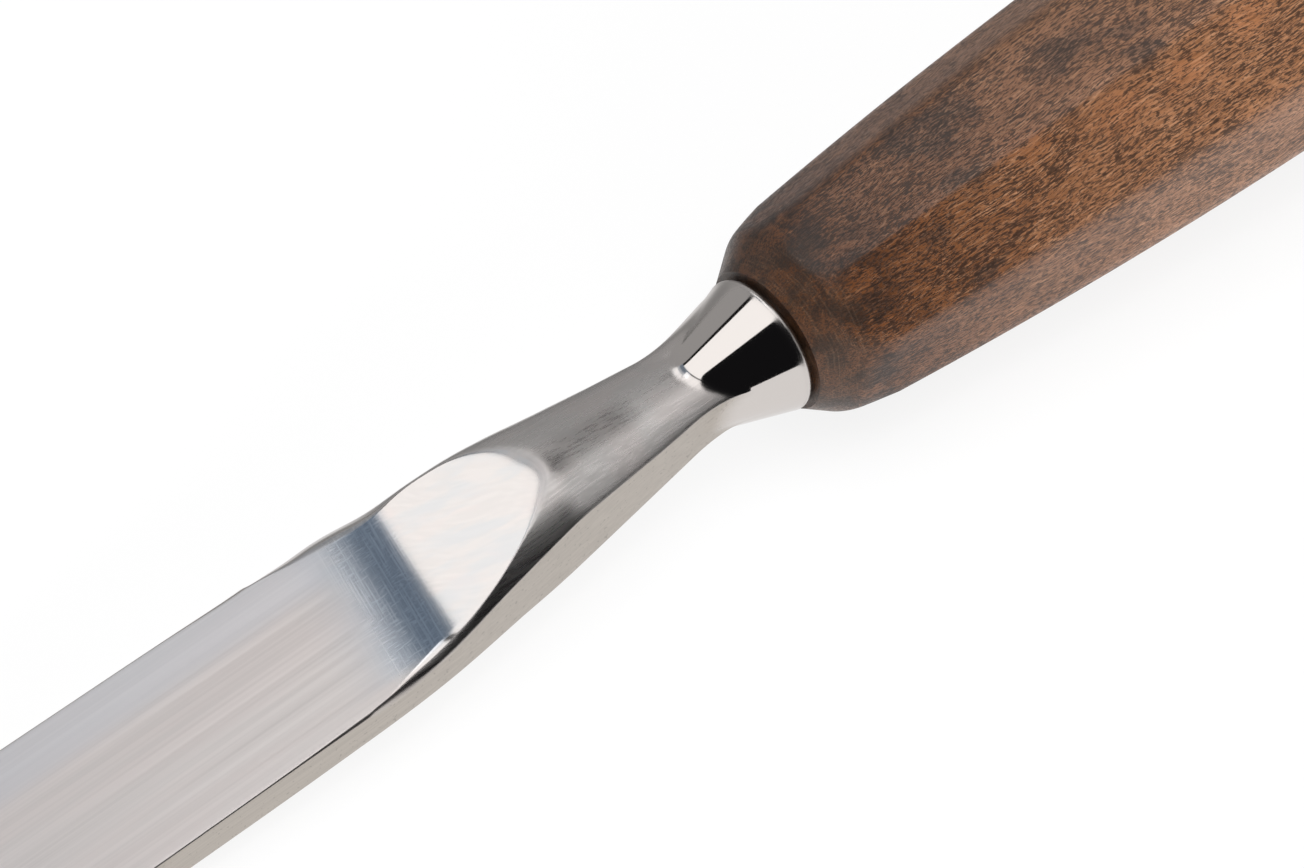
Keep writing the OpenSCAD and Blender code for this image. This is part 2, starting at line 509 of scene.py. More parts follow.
    def roof(self, x: float, y: np.ndarray) -> np.ndarray:
        """Height of the forged roof before grinding.

        Args:
            x: Distance from the seat.
            y: Distances from the middle plane.

        Returns:
            Heights, lifted out of the way beyond the shoulder.
        """
        clear = self.roof_clear
        away = clear * float(smooth_step(self.fall_x - clear, self.fall_x + clear, x))
        spread = float(smooth_step(*self.ridge_r_run, x))
        radius = self.ridge_root_r + (self.ridge_r - self.ridge_root_r) * spread
        lean = (y - self.fold_y) / self.fold_half
        fold = self.fold * float(smooth_step(*self.fold_run, x))
        fold = fold * lean * np.exp((1.0 - np.square(lean)) / 2)
        slack = self.far_slack.on(x) * smooth_step(*self.far_slack_y, -y)
        lift = self.far_lift.on(x) * smooth_step(*self.far_lift_y, -y)
        drop = round_drop(radius, np.minimum(np.abs(y), radius * self.roof_share))
        return self.crest.at(x) + fold + lift - slack - drop + away

    def grind(self, x: float, y: np.ndarray) -> np.ndarray:
        """Height to which the face and its ramp are ground, a little askew.

        Args:
            x: Distance from the seat.
            y: Distances from the middle plane.

        Returns:
            The ground heights.
        """
        start, end = (self.bevel_x - before for before in self.skew_fade)
        square = float(smooth_step(start, end, x))
        return self.face.at(x - self.ramp_skew * (1.0 - square) * y)

    def rim_roll(self, x: float) -> float:
        """How far the ramp's rim is rubbed over at distance x."""
        apex = 1.0 - float(smooth_step(*self.rub_apex_run, x))
        return self.rub + self.rub_apex * apex + self.rub_foot.on(x)

    def top(self, x: float, y: np.ndarray) -> np.ndarray:
        """Height of the upper surface after grinding."""
        return soft_min(self.roof(x, y), self.grind(x, y), self.rim_roll(x))

    def bottom(self, x: float, y: np.ndarray) -> np.ndarray:
        """Height of the lower surface: the keel, or the blade's back where that is lower.

        Args:
            x: Distance from the seat.
            y: Distances from the middle plane.

        Returns:
            The heights.
        """
        keel = -(self.depth.at(x) - round_drop(self.keel_r, np.abs(y)))
        fade = float(smooth_step(self.keel_x - self.keel_fade, self.keel_x + self.keel_fade, x))
        back = self.back_z(x) + (1.0 - fade) * self.keel_clear
        return soft_min(keel, back, self.back_roll)

    def edge_roll(self, x: float, thick: float, hand: int) -> float:
        """Radius that rolls the long edges, more on the far side of the shoulder.

        Args:
            x: Distance from the seat.
            thick: Thickness of the edge there.
            hand: 1 for the near edge, -1 for the far edge.

        Returns:
            The radius.
        """
        rubbed = self.edge_far.on(x) if hand < 0 else 0.0
        return min(self.edge_r + self.edge_foot.on(x) + rubbed, self.edge_share * thick)

    def spread(self, x: float, reach: float, hand: int) -> np.ndarray:
        """Spaces points across the top, close together where the ramp cuts the roof.

        Args:
            x: Distance from the seat.
            reach: How far from the middle the points go.
            hand: 1 for the near half, -1 for the far half.

        Returns:
            Distances from the middle plane, from zero to reach.
        """
        fine = np.linspace(0.0, reach, self.trial_points)
        over = self.roof(x, hand * fine) - self.grind(x, hand * fine)
        close = over / (self.rim_crowd_reach + self.rim_roll(x))
        weight = 1.0 + self.rim_crowd * np.exp(-np.square(close))
        total = np.concatenate([[0.0], np.cumsum((weight[1:] + weight[:-1]) / 2)])
        return np.interp(np.linspace(0.0, total[-1], self.top_points), total, fine)

    def half_section(self, x: float, hand: int) -> tuple[np.ndarray, ...]:
        """Half of the section at distance x, from the ridge round to the keel.

        Args:
            x: Distance from the seat.
            hand: 1 for the near half, -1 for the far half.

        Returns:
            Points as distance and height, and for each how much it is ground,
            on the side, and on the rubbed rim.
        """
        half = self.half_width.at(x) + (self.far_swell.on(x) if hand < 0 else 0.0)
        edge = np.array([half])
        thick = float((self.top(x, hand * edge) - self.bottom(x, edge))[0])
        roll = self.edge_roll(x, thick, hand)
        y_top = self.spread(x, half - roll, hand)
        angle = np.radians(np.linspace(0, 90, self.corner_points + 1)[1:])
        y_turn = half + (roll * np.sin(angle) - roll)
        drop = roll * (1 - np.cos(angle))
        z_turn = self.top(x, hand * y_turn) - drop
        z_under = self.bottom(x, y_turn) + drop
        share = np.linspace(0, 1, self.flank_points + 2)[1:-1]
        z_flank = z_turn[-1] + (z_under[-1] - z_turn[-1]) * share
        y_low = np.linspace(half - roll, 0.0, self.keel_points)
        points = np.concatenate([
            np.stack([y_top, self.top(x, hand * y_top)], 1),
            np.stack([y_turn, z_turn], 1),
            np.stack([np.full_like(share, half), z_flank], 1),
            np.stack([y_turn[::-1], z_under[::-1]], 1),
            np.stack([y_low, self.bottom(x, y_low)], 1),
        ]) * [hand, 1.0]
        over = self.roof(x, hand * y_top) - self.grind(x, hand * y_top)
        apex = 1.0 - float(smooth_step(*self.rim_run, x))
        ground, side, rim = np.zeros(len(points)), np.ones(len(points)), np.zeros(len(points))
        top, corner = self.top_points, self.corner_points
        ground[:top] = smooth_step(-self.ground_edge, self.ground_edge, over)
        side[:top] = 0.0
        side[top : top + corner] = np.linspace(0, 1, corner)
        rim[:top] = apex * np.exp(-np.square(over / self.rim_reach))
        return points, ground, side, rim

    def section(self, x: float) -> tuple[np.ndarray, ...]:
        """The whole section at distance x, as half_section gives its halves."""
        near, far = self.half_section(x, 1), self.half_section(x, -1)
        return tuple(np.concatenate([a, b[-2:0:-1]]) for a, b in zip(near, far))

    def stations(self) -> np.ndarray:
        """Distances at which the neck and blade are drawn, closest together on the ramp."""
        bevel, heel = self.bevel_x, self.heel_step
        return np.concatenate([
            np.arange(*self.neck_run),
            np.arange(*self.ramp_run),
            np.arange(self.ramp_run[1], bevel - 0.5, self.blade_step),
            [bevel - heel, bevel, bevel + heel],
            np.linspace(bevel + 1.0, self.blade_l - 0.05, self.bevel_points),
        ])

    def fillet(self, x: float, lean: np.ndarray) -> np.ndarray:
        """Width of the fillet between neck and bolster, widest on the flanks.

        Args:
            x: Distance from the seat.
            lean: How far each point lies to the side, from -1 to 1.

        Returns:
            One width per point.
        """
        near = smooth_step(*self.near_lean, lean) * (self.near_fillet - self.roof_fillet)
        far = smooth_step(*self.far_lean, -lean) * (self.far_fillet - self.roof_fillet)
        share = smooth_step(*self.fillet_in, x) * (1.0 - smooth_step(*self.fillet_out, x))
        return float(share) * (self.roof_fillet + near + far)

    def build(self, rest: Rest) -> bpy.types.Object:
        """Draws the forging from the tang's point to the cutting edge.

        Args:
            rest: How the tool lies.

        Returns:
            The finished piece.
        """
        skin = Skin("forged_blade", rest)
        stations = self.stations()
        points = self.section(stations[0])[0]
        turn = np.arctan2(points[:, 1], points[:, 0])
        self._draw_tang(skin, turn)
        self._draw_bolster(skin, turn)
        for x in stations:
            self._draw_section(skin, x)
        return skin.build()

    def _draw_tang(self, skin: Skin, turn: np.ndarray) -> None:
        """Draws the square tang, from its point to the bolster's seat.

        Args:
            skin: The forging's skin.
            turn: Angle of each point on a ring.
        """
        square = square_share(turn)
        plain = {"ground": 0.0, "side": 1.0, "rim": 0.0, "collar": 0.0}
        for x in (-self.tang_l, self.tang_point - self.tang_l, *self.tang_rings):
            skin.add(ring(x, turn, self.tang.at(x) * square), **plain)

    def _draw_bolster(self, skin: Skin, turn: np.ndarray) -> None:
        """Draws the bolster's seat and rounded rim.

        Args:
            skin: The forging's skin.
            turn: Angle of each point on a ring.
        """
        rim = self.bolster_d / 2
        tip = rim / math.tan(math.radians(self.bolster_taper))
        line = Profile.through([(0, 0, 0), (0, rim, self.rim_r), (tip, 0, 0)], self.rim_steps)
        bend = slice(1, self.rim_steps + 2)
        seat = [(0.0, self.seat_r), (0.0, rim - self.rim_r - self.rim_gap)]
        bright = {"ground": 0.0, "side": 0.0, "rim": 0.0, "collar": 1.0}
        for x, radius in [*seat, *zip(line.xs[bend], line.ys[bend])]:
            skin.add(ring(x, turn, np.full_like(turn, radius)), **bright)

    def _draw_section(self, skin: Skin, x: float) -> None:
        """Draws neck or blade at distance x, grown to the bolster's cone where that is wider.

        Args:
            skin: The forging's skin.
            x: Distance from the seat.
        """
        points, ground, side, rim = self.section(x)
        reach = np.hypot(points[:, 0], points[:, 1])
        safe = np.maximum(reach, 1e-6)
        cone = self.bolster_d / 2 - x * math.tan(math.radians(self.bolster_taper))
        cone = max(cone, 0.0)
        grown = soft_max(reach, cone, self.fillet(x, points[:, 0] / safe))
        flat = points * (grown / safe)[:, None]
        skin.add(
            np.column_stack([np.full(len(flat), x), flat]),
            ground=ground, side=side, rim=rim, collar=smooth_step(*self.collar_run, cone - reach),
        )


@dataclass
class Handle:
    """Turned wooden grip with eight flats and a stepped hole for tang and ring."""

    handle_l: float = 135.0
    handle_w: float = 28.9
    belly_x: float = 82.0
    barrel_r: float = 730.0
    corner_h: float = 0.8
    mouth_d: float = 15.4
    mouth_run: float = 4.0
    mouth_rise: float = 2.7
    mouth_r: float = 4.2
    crown_r: float = 42.0
    butt_r: float = 6.0
    seat_gap: float = 0.25
    wood_fit: float = 0.05
    ring_d: float = 12.0
    ring_l: float = 12.0
    pilot_share: float = 1.06
    flats: int = 8
    edge_roll: float = 0.5
    around: int = 288
    barrel_points: int = 40
    corner_steps: int = 24
    crown_points: int = 14
    butt_points: int = 48
    mouth_step: float = 0.16
    barrel_step: float = 2.0
    step: float = 0.01
    hole_mid: float = 22.0
    hole_front: float = 4.0
    fine_mouth: float = 16.0
    fine_butt: float = 24.0

    def barrel_h(self, q: Values) -> np.ndarray:
        """Half the width across flats at distance q behind the mouth."""
        belly = self.handle_w / 2
        return belly - self.barrel_r + np.sqrt(self.barrel_r**2 - np.square(q - self.belly_x))

    def crown_q(self, height: float) -> float:
        """Distance of the butt's crown behind the mouth, at a height off the axis."""
        return self.handle_l - self.crown_r + math.sqrt(self.crown_r**2 - height**2)

    def turned_line(self) -> np.ndarray:
        """The turned outline from the mouth to the butt.

        Returns:
            Distance behind the mouth and radius, one row per ring.
        """
        slope_end = self.mouth_run + self.mouth_r
        edge_q = self.handle_l - 2 * self.butt_r
        edge_h = float(self.barrel_h(self.handle_l)) + self.corner_h
        corners: list[Corner] = [
            (self.seat_gap, self.mouth_d / 2, 0),
            (self.mouth_run, self.mouth_d / 2 + self.mouth_rise, self.mouth_r),
        ]
        for q in np.linspace(slope_end, edge_q, self.barrel_points):
            corners.append((float(q), float(self.barrel_h(q)) + self.corner_h, 0))
        low = edge_h - self.butt_r
        corners += [(self.crown_q(edge_h), edge_h, self.butt_r), (self.crown_q(low), low, 0)]
        line = Profile.through(corners, steps=self.corner_steps)
        shares = np.linspace(0.9, 0.01, self.crown_points)
        crown = [(self.crown_q(low * share), low * share) for share in shares]
        return np.concatenate([np.column_stack([line.xs, line.ys]), crown])

    def fine_line(self) -> np.ndarray:
        """The turned outline with extra rings at the mouth and butt, where the flats run out.

        Returns:
            Distance behind the mouth and radius, one row per ring.
        """
        line = self.turned_line()
        gone = np.concatenate([[0.0], np.cumsum(np.hypot(*np.diff(line, axis=0).T))])
        butt = gone[-1] - self.fine_butt
        places = np.concatenate([
            np.arange(0.0, self.fine_mouth, self.mouth_step),
            np.arange(self.fine_mouth, butt, self.barrel_step),
            np.linspace(butt, gone[-1], self.butt_points),
        ])
        return np.column_stack([np.interp(places, gone, line[:, i]) for i in (0, 1)])

    def hole(self, q: float, turn: np.ndarray, forging: Forging) -> np.ndarray:
        """Radius of the hole at distance q behind the seat.

        Args:
            q: Distance behind the seat.
            turn: Angles round the axis.
            forging: The forging whose tang sits in the hole.

        Returns:
            One radius per angle.
        """
        square = (forging.tang.at(-q) + self.wood_fit) * square_share(turn)
        pilot = forging.tang_w if q < forging.tang_l / 2 else forging.tang_end_w
        bore = self.ring_d / 2 + self.wood_fit if q < self.ring_l + self.wood_fit else 0.0
        return np.maximum(square, max(pilot * self.pilot_share / 2, bore))

    def build(self, rest: Rest, forging: Forging) -> bpy.types.Object:
        """Draws the handle from the bottom of its hole, out at the mouth and back to the butt.

        Args:
            rest: How the tool lies.
            forging: The forging that sits in it.

        Returns:
            The finished piece.
        """
        skin = Skin("grip", rest)
        turn = np.arange(self.around) / self.around * 2 * math.pi
        tang_end, half_way = forging.tang_l, forging.tang_l / 2
        ring_end = self.ring_l + self.wood_fit
        for q in (
            tang_end, tang_end - forging.tang_point, half_way + self.step, half_way - self.step,
            self.hole_mid, ring_end + self.step, ring_end - self.step, self.hole_front, self.seat_gap,
        ):
            skin.add(ring(-q, turn, self.hole(q, turn, forging)))
        sector = 2 * math.pi / self.flats
        off = (turn + sector / 2) % sector - sector / 2
        for q, radius in self.fine_line():
            flat = float(self.barrel_h(q)) / np.cos(off)
            skin.add(ring(-q, turn, soft_min(flat, radius, self.edge_roll)))
        return skin.build()


def lie_down(forging: Forging, handle: Handle) -> Rest:
    """Works out how the tool lies: on one flat and on the heel of its lower bevel.

    Args:
        forging: The forging.
        handle: The handle.

    Returns:
        The tool's tilt and place on the bench.
    """
    heel_x, heel_z = forging.rest_point()
    across = handle.belly_x + heel_x
    above = handle.barrel_r - handle.handle_w / 2 - heel_z
    tilt = math.asin(handle.barrel_r / math.hypot(across, above)) - math.atan2(above, across)
    lift = heel_x * math.sin(tilt) - heel_z * math.cos(tilt)
    front = forging.blade_l * math.cos(tilt) - forging.blade_drop * math.sin(tilt)
    back = (handle.handle_l - handle.crown_r) * math.cos(tilt) + handle.crown_r
    return Rest(tilt, ((back - front) / 2, 0.0, lift))


class Graph:
    """Short words for building a node tree."""

    def __init__(self, tree: bpy.types.NodeTree) -> None:
        """Wraps a node tree."""
        self.tree = tree

    def add(
        self, kind: str, feeds: dict[str | int, object] | None = None, **settings: object
    ) -> bpy.types.Node:
        """Adds a node.

        Args:
            kind: The node's type.
            feeds: Sockets or plain values for its inputs, by name or number.
            **settings: Properties to set on it.

        Returns:
            The new node.
        """
        node = self.tree.nodes.new(kind)
        for key, value in settings.items():
            setattr(node, key, value)
        for key, value in (feeds or {}).items():
            self.feed(node.inputs[key], value)
        return node

    def feed(self, socket: Socket, value: object) -> None:
        """Links a socket to another, or sets its value.

        Args:
            socket: The input.
            value: A socket, or a plain value.
        """
        if isinstance(value, Socket):
            self.tree.links.new(value, socket)
        elif isinstance(value, tuple) and len(value) == 3 and len(socket.default_value) == 4:
            socket.default_value = (*value, 1.0)
        else:
            socket.default_value = value

    def math(self, operation: str, a: object, b: object) -> Socket:
        """One sum on two values."""
        return self.add("ShaderNodeMath", {0: a, 1: b}, operation=operation).outputs[0]

    def plus(self, a: object, b: object) -> Socket:
        """The sum of two values."""
        return self.math("ADD", a, b)

    def less(self, a: object, b: object) -> Socket:
        """The first value less the second."""
        return self.math("SUBTRACT", a, b)

    def times(self, a: object, b: object) -> Socket:
        """The product of two values."""
        return self.math("MULTIPLY", a, b)

    def most(self, a: object, b: object) -> Socket:
        """The larger of two values."""
        return self.math("MAXIMUM", a, b)

    def ease(
        self, value: object, low: object, high: object, to_low: float = 0.0, to_high: float = 1.0
    ) -> Socket:
        """Eases a value from one range to another.

        Args:
            value: The value.
            low: Where the ease starts.
            high: Where it ends.
            to_low: Result at the start.
            to_high: Result at the end.

        Returns:
            The eased value.
        """
        feeds = dict(enumerate((value, low, high, to_low, to_high)))
        kind = "ShaderNodeMapRange"
        return self.add(kind, feeds, interpolation_type="SMOOTHSTEP", clamp=True).outputs[0]

    def mix(self, share: object, a: object, b: object, blend: str = "MIX") -> Socket:
        """Mixes two colours.

        Args:
            share: How much of the second.
            a: First colour.
            b: Second colour.
            blend: How they mix.

        Returns:
            The mixed colour.
        """
        feeds = {"Factor": share, 6: a, 7: b}
        settings = {"data_type": "RGBA", "blend_type": blend, "clamp_factor": True}
        return self.add("ShaderNodeMix", feeds, **settings).outputs[2]

    def blend(self, share: object, a: object, b: object) -> Socket:
        """Mixes two values.

        Args:
            share: How much of the second.
            a: First value.
            b: Second value.

        Returns:
            The mixed value.
        """
        feeds = {"Factor": share, 2: a, 3: b}
        return self.add("ShaderNodeMix", feeds, data_type="FLOAT", clamp_factor=True).outputs[0]

    def noise(
        self, place: object, scale: object, detail: object, rough: float = 0.5, warp: object = 0.0
    ) -> bpy.types.Node:
        """Cloudy noise.

        Args:
            place: Where to read it.
            scale: Clouds per millimetre.
            detail: Octaves.
            rough: How strong the fine octaves are.
            warp: Distortion.

        Returns:
            The noise node.
        """
        feeds = {
            "Vector": place, "Scale": scale, "Detail": detail, "Roughness": rough,
            "Distortion": warp,
        }
        return self.add("ShaderNodeTexNoise", feeds, noise_dimensions="3D")

    def vector(self, operation: str, a: object, b: object) -> Socket:
        """One sum on two vectors, which gives a vector or a distance."""
        node = self.add("ShaderNodeVectorMath", {0: a, 1: b}, operation=operation)
        return node.outputs["Value" if operation == "DISTANCE" else "Vector"]

    def drawn_out(self, place: object, along: float) -> Socket:
        """Stretches a place along the tool."""
        return self.add("ShaderNodeMapping", {"Vector": place, "Scale": (along, 1.0, 1.0)}).outputs[0]

    def warped(self, place: object, scale: float, reach: float) -> Socket:
        """Pushes a place about by slow noise.

        Args:
            place: The place.
            scale: Waves per millimetre.
            reach: How far it is pushed.

        Returns:
            The pushed place.
        """
        cloud = self.noise(place, scale, 1.0).outputs["Color"]
        push = self.vector("SUBTRACT", cloud, (0.5, 0.5, 0.5))
        return self.vector("ADD", place, self.vector("MULTIPLY", push, (reach, reach, reach)))

    def axes(self, place: object) -> tuple[Socket, ...]:
        """The three axes of a place."""
        return tuple(self.add("ShaderNodeSeparateXYZ", {0: place}).outputs)

    def mark(self, key: str) -> Socket:
        """Reads a value kept on the piece's points."""
        kind = "ShaderNodeAttribute"
        return self.add(kind, attribute_type="GEOMETRY", attribute_name=key).outputs["Fac"]

    def bump(self, shader: bpy.types.Node, height: object, reach: float) -> None:
        """Gives a shader fine relief.

        Args:
            shader: The shader.
            height: Height from 0 to 1.
            reach: Depth of the relief in metres.
        """
        node = self.add("ShaderNodeBump", {"Strength": 1.0, "Distance": reach, "Height": height})
        self.feed(shader.inputs["Normal"], node.outputs[0])


def tool_place(graph: Graph, rest: Rest) -> Socket:
    """Object coordinates turned back to the tool frame, in millimetres.

    Args:
        graph: The material's graph.
        rest: How the tool lies.

    Returns:
        The place on the tool.
    """
    feeds = {
        "Vector": graph.add("ShaderNodeTexCoord").outputs["Object"],
        "Location": tuple(v * MM for v in rest.shift),
        "Rotation": (0.0, rest.tilt, 0.0),
        "Scale": (MM, MM, MM),
    }
    return graph.add("ShaderNodeMapping", feeds, vector_type="TEXTURE").outputs[0]


def new_material(name: str) -> tuple[bpy.types.Material, Graph, bpy.types.Node, bpy.types.Node]:
    """Starts a material.

    Args:
        name: Its name.

    Returns:
        The material, its graph, its Principled shader and its output.
    """
    material = bpy.data.materials.new(name)
    material.use_nodes = True
    material.node_tree.nodes.clear()
    graph = Graph(material.node_tree)
    shader = graph.add("ShaderNodeBsdfPrincipled")
    out = graph.add("ShaderNodeOutputMaterial", {"Surface": shader.outputs["BSDF"]})
    return material, graph, shader, out


class Effects:
    """Node groups that several finishes share."""

    def __init__(self) -> None:
        """Builds the groups once."""
        self.lines = self._lines()
        self.clouds = self._clouds()

    @staticmethod
    def _group(
        name: str, values: dict[str, float]
    ) -> tuple[bpy.types.NodeTree, Graph, dict[str, Socket], Socket]:
        """Starts a group that reads a place and puts out one value.

        Args:
            name: Its name.
            values: Its number inputs and their first values.

        Returns:
            The group, its graph, its inputs by name, and the value that it puts out.
        """
        tree = bpy.data.node_groups.new(name, "ShaderNodeTree")
        tree.interface.new_socket("Place", in_out="INPUT", socket_type="NodeSocketVector")
        for label, value in values.items():
            socket = tree.interface.new_socket(label, in_out="INPUT", socket_type="NodeSocketFloat")
            socket.default_value = value
        tree.interface.new_socket("Value", in_out="OUTPUT", socket_type="NodeSocketFloat")
        graph = Graph(tree)
        entry = graph.add("NodeGroupInput").outputs
        inputs = {label: entry[label] for label in ("Place", *values)}
        return tree, graph, inputs, graph.add("NodeGroupOutput").inputs[0]

    def _lines(self) -> bpy.types.NodeTree:
        """Fine lines: noise drawn out along one direction.

        Returns:
            The group.
        """
        values = {"Along": 0.1, "Across": 4.0, "Turn": 0.0, "Detail": 1.0}
        tree, graph, entry, out = self._group("fine_lines", values)
        feeds = {"Vector": entry["Place"], "Angle": entry["Turn"]}
        turned = graph.add("ShaderNodeVectorRotate", feeds, rotation_type="Z_AXIS")
        feeds = {0: entry["Along"], 1: entry["Across"], 2: entry["Across"]}
        stretch = graph.add("ShaderNodeCombineXYZ", feeds)
        drawn = graph.vector("MULTIPLY", turned.outputs[0], stretch.outputs[0])
        graph.feed(out, graph.noise(drawn, 1.0, entry["Detail"], 0.55).outputs["Fac"])
        return tree

    def _clouds(self) -> bpy.types.NodeTree:
        """Soft patches: noise eased between two levels.

        Returns:
            The group.
        """
        values = {"Scale": 0.1, "Low": 0.45, "High": 0.6, "Detail": 3.0, "Warp": 0.6}
        tree, graph, entry, out = self._group("soft_patches", values)
        cloud = graph.noise(entry["Place"], entry["Scale"], entry["Detail"], 0.55, entry["Warp"])
        graph.feed(out, graph.ease(cloud.outputs["Fac"], entry["Low"], entry["High"]))
        return tree

    def line(
        self, graph: Graph, place: object, along: float, across: float, turn: float = 0.0,
        detail: float = 1.0,
    ) -> Socket:
        """Places the fine lines in a finish.

        Args:
            graph: The finish's graph.
            place: Where to read them.
            along: Changes per millimetre along a line.
            across: Changes per millimetre across the lines.
            turn: Turn about Z in radians.
            detail: Octaves.

        Returns:
            Values about one half.
        """
        feeds = {"Place": place, "Along": along, "Across": across, "Turn": turn, "Detail": detail}
        return graph.add("ShaderNodeGroup", feeds, node_tree=self.lines).outputs[0]

    def patch(
        self, graph: Graph, place: object, scale: float, low: float, high: float,
        detail: float = 3.0, warp: float = 0.6,
    ) -> Socket:
        """Places soft patches in a finish.

        Args:
            graph: The finish's graph.
            place: Where to read them.
            scale: Patches per millimetre.
            low: Noise level at which a patch begins.
            high: Noise level at which it is full.
            detail: Octaves.
            warp: Distortion.

        Returns:
            A mask from 0 to 1.
        """
        feeds = {"Place": place, "Scale": scale, "Low": low, "High": high, "Detail": detail, "Warp": warp}
        return graph.add("ShaderNodeGroup", feeds, node_tree=self.clouds).outputs[0]


def dim(colour: Colour, share: float) -> Colour:
    """A colour made lighter or darker."""
    return tuple(min(v * share, 1.0) for v in colour)


@dataclass(frozen=True)
class SteelMarks:
    """Places and marks on the forging that its colour, gloss and relief all read."""

    place: Socket
    x: Socket
    y: Socket
    askew: Socket
    ground: Socket
    side: Socket
    rim: Socket
    collar: Socket
    on_ramp: Socket
    streak: Socket
    strokes: Socket
    cross: Socket
    scuff: Socket
    pits: Socket


@dataclass(frozen=True)
class ForgedSteel:
    """Tool steel: brushed face, polished ramp and bolster, satin neck, plain forged sides, with painted
    bluish reflection on the face's far side and in the ramp's hollow.
    """

    name: str = "forged_tool_steel"
    face: Colour = (0.62, 0.575, 0.555)
    ramp: Colour = (0.64, 0.605, 0.585)
    neck: Colour = (0.60, 0.575, 0.56)
    bolster: Colour = (0.63, 0.59, 0.565)
    sides: Colour = (0.50, 0.455, 0.41)
    # Painted bluish reflection, for the face's far side and the ramp's hollow.
    painted_blue_reflection: Colour = (0.50, 0.54, 0.60)
    rose: Colour = (0.68, 0.59, 0.565)
    steel: Colour = (0.565, 0.575, 0.585)
    # Painted glint on the scratch lines in the ramp's hollow.
    glint: Colour = (0.80, 0.82, 0.85)
    ramp_end: float = 51.0
    ramp_fade: float = 2.0
    skew: float = 0.25
    relief: float = 2.5e-6

    def make(self, rest: Rest, effects: Effects) -> bpy.types.Material:
        """Builds the finish.

        Args:
            rest: How the tool lies.
            effects: Shared node groups.

        Returns:
            The material.
        """
        material, graph, shader, _ = new_material(self.name)
        marks = self._marks(graph, tool_place(graph, rest), effects)
        graph.feed(shader.inputs["Base Color"], self._colour(graph, marks, effects))
        graph.feed(shader.inputs["Roughness"], self._roughness(graph, marks))
        shader.inputs["Metallic"].default_value = 1.0
        graph.bump(shader, self._height(graph, marks), self.relief)
        return material

    def _marks(self, graph: Graph, place: Socket, effects: Effects) -> SteelMarks:
        """Works out the marks.

        Args:
            graph: The finish's graph.
            place: The place on the tool.
            effects: Shared node groups.

        Returns:
            The marks.
        """
        x, y, _ = graph.axes(place)
        ground, side, rim, collar = (graph.mark(key) for key in ("ground", "side", "rim", "collar"))
        askew = graph.less(x, graph.times(y, self.skew))
        ramp = graph.ease(askew, self.ramp_end + self.ramp_fade, self.ramp_end - self.ramp_fade)
        rubbed = graph.warped(place, 0.05, 1.2)
        return SteelMarks(
            place, x, y, askew, ground, side, rim, collar, graph.times(ground, ramp),
            streak=effects.line(graph, place, 0.012, 1.2, detail=2.0),
            strokes=effects.line(graph, place, 0.22, 7.5, turn=0.06),
            cross=effects.line(graph, place, 0.15, 6.5, turn=-1.33),
            scuff=effects.line(graph, rubbed, 0.05, 4.0, detail=3.0),
            pits=effects.patch(graph, place, 2.6, 0.66, 0.72, detail=1.0, warp=0.0),
        )

    def _colour(self, graph: Graph, marks: SteelMarks, effects: Effects) -> Socket:
        """Colours the face, ramp, neck, sides and bolster, painting a bluish reflection on the face's far
        side and in the ramp's hollow.

        Args:
            graph: The finish's graph.
            marks: Marks on the forging.
            effects: Shared node groups.

        Returns:
            The colour.
        """
        place, y = marks.place, marks.y
        # The ramp's hollow, which carries a painted dark bluish reflection, with painted glints on its
        # scratch lines.
        hollow = graph.times(graph.ease(marks.askew, 43.0, 45.0), graph.ease(marks.askew, 57.0, 46.0))
        hollow = graph.times(hollow, graph.ease(y, 8.4, 7.2))
        stain = effects.patch(graph, place, 0.16, 0.45, 0.65)

        fine = effects.line(graph, place, 0.02, 3.6, detail=0.0)
        bands = effects.patch(graph, graph.drawn_out(place, 0.12), 0.22, 0.42, 0.62)
        brushed = graph.mix(graph.ease(marks.streak, 0.3, 0.7), self.face, dim(self.face, 0.93))
        brushed = graph.mix(graph.ease(fine, 0.3, 0.7, 0.0, 0.5), brushed, dim(self.face, 1.08))
        brushed = graph.mix(graph.times(bands, 0.22), brushed, self.rose)
        # Painted bluish reflection, growing towards the face's far side and over the hollow.
        brushed = graph.mix(graph.ease(y, -3.5, -6.0, 0.0, 0.35), brushed, self.painted_blue_reflection)
        brushed = graph.mix(graph.times(hollow, 0.6), brushed, dim(self.painted_blue_reflection, 0.9))

        swirl = effects.line(graph, graph.warped(place, 0.10, 4.0), 0.10, 2.4, turn=0.7, detail=2.0)
        sheen = effects.line(graph, graph.warped(place, 0.08, 2.0), 0.07, 0.35, turn=0.35, detail=3.0)
        scratch = graph.most(graph.ease(marks.strokes, 0.45, 0.75), graph.ease(marks.cross, 0.45, 0.75))
        # Painted dark reflection in the hollow, with its scratch lines painted lighter as glints.
        painted_reflection_hatch = graph.mix(graph.times(scratch, 0.6), dim(self.painted_blue_reflection, 0.84), self.glint)
        polished = graph.mix(graph.ease(swirl, 0.35, 0.65, 0.0, 0.6), self.ramp, dim(self.ramp, 0.95))
        polished = graph.mix(graph.times(stain, 0.35), polished, self.rose)
        polished = graph.mix(graph.ease(sheen, 0.45, 0.65, 0.0, 0.6), polished, self.steel)
        polished = graph.mix(graph.times(hollow, 0.8), polished, painted_reflection_hatch)

        satin = graph.mix(graph.ease(marks.scuff, 0.35, 0.7), self.neck, dim(self.neck, 0.93))
        satin = graph.mix(graph.times(stain, 0.25), satin, self.rose)
        forged = graph.mix(graph.ease(marks.scuff, 0.3, 0.7), self.sides, dim(self.sides, 0.9))
        forged = graph.mix(graph.times(marks.pits, 0.45), forged, dim(self.sides, 0.45))

        colour = graph.mix(marks.side, satin, forged)
        colour = graph.mix(marks.ground, colour, graph.mix(marks.on_ramp, brushed, polished))
        return graph.mix(marks.collar, colour, self.bolster)

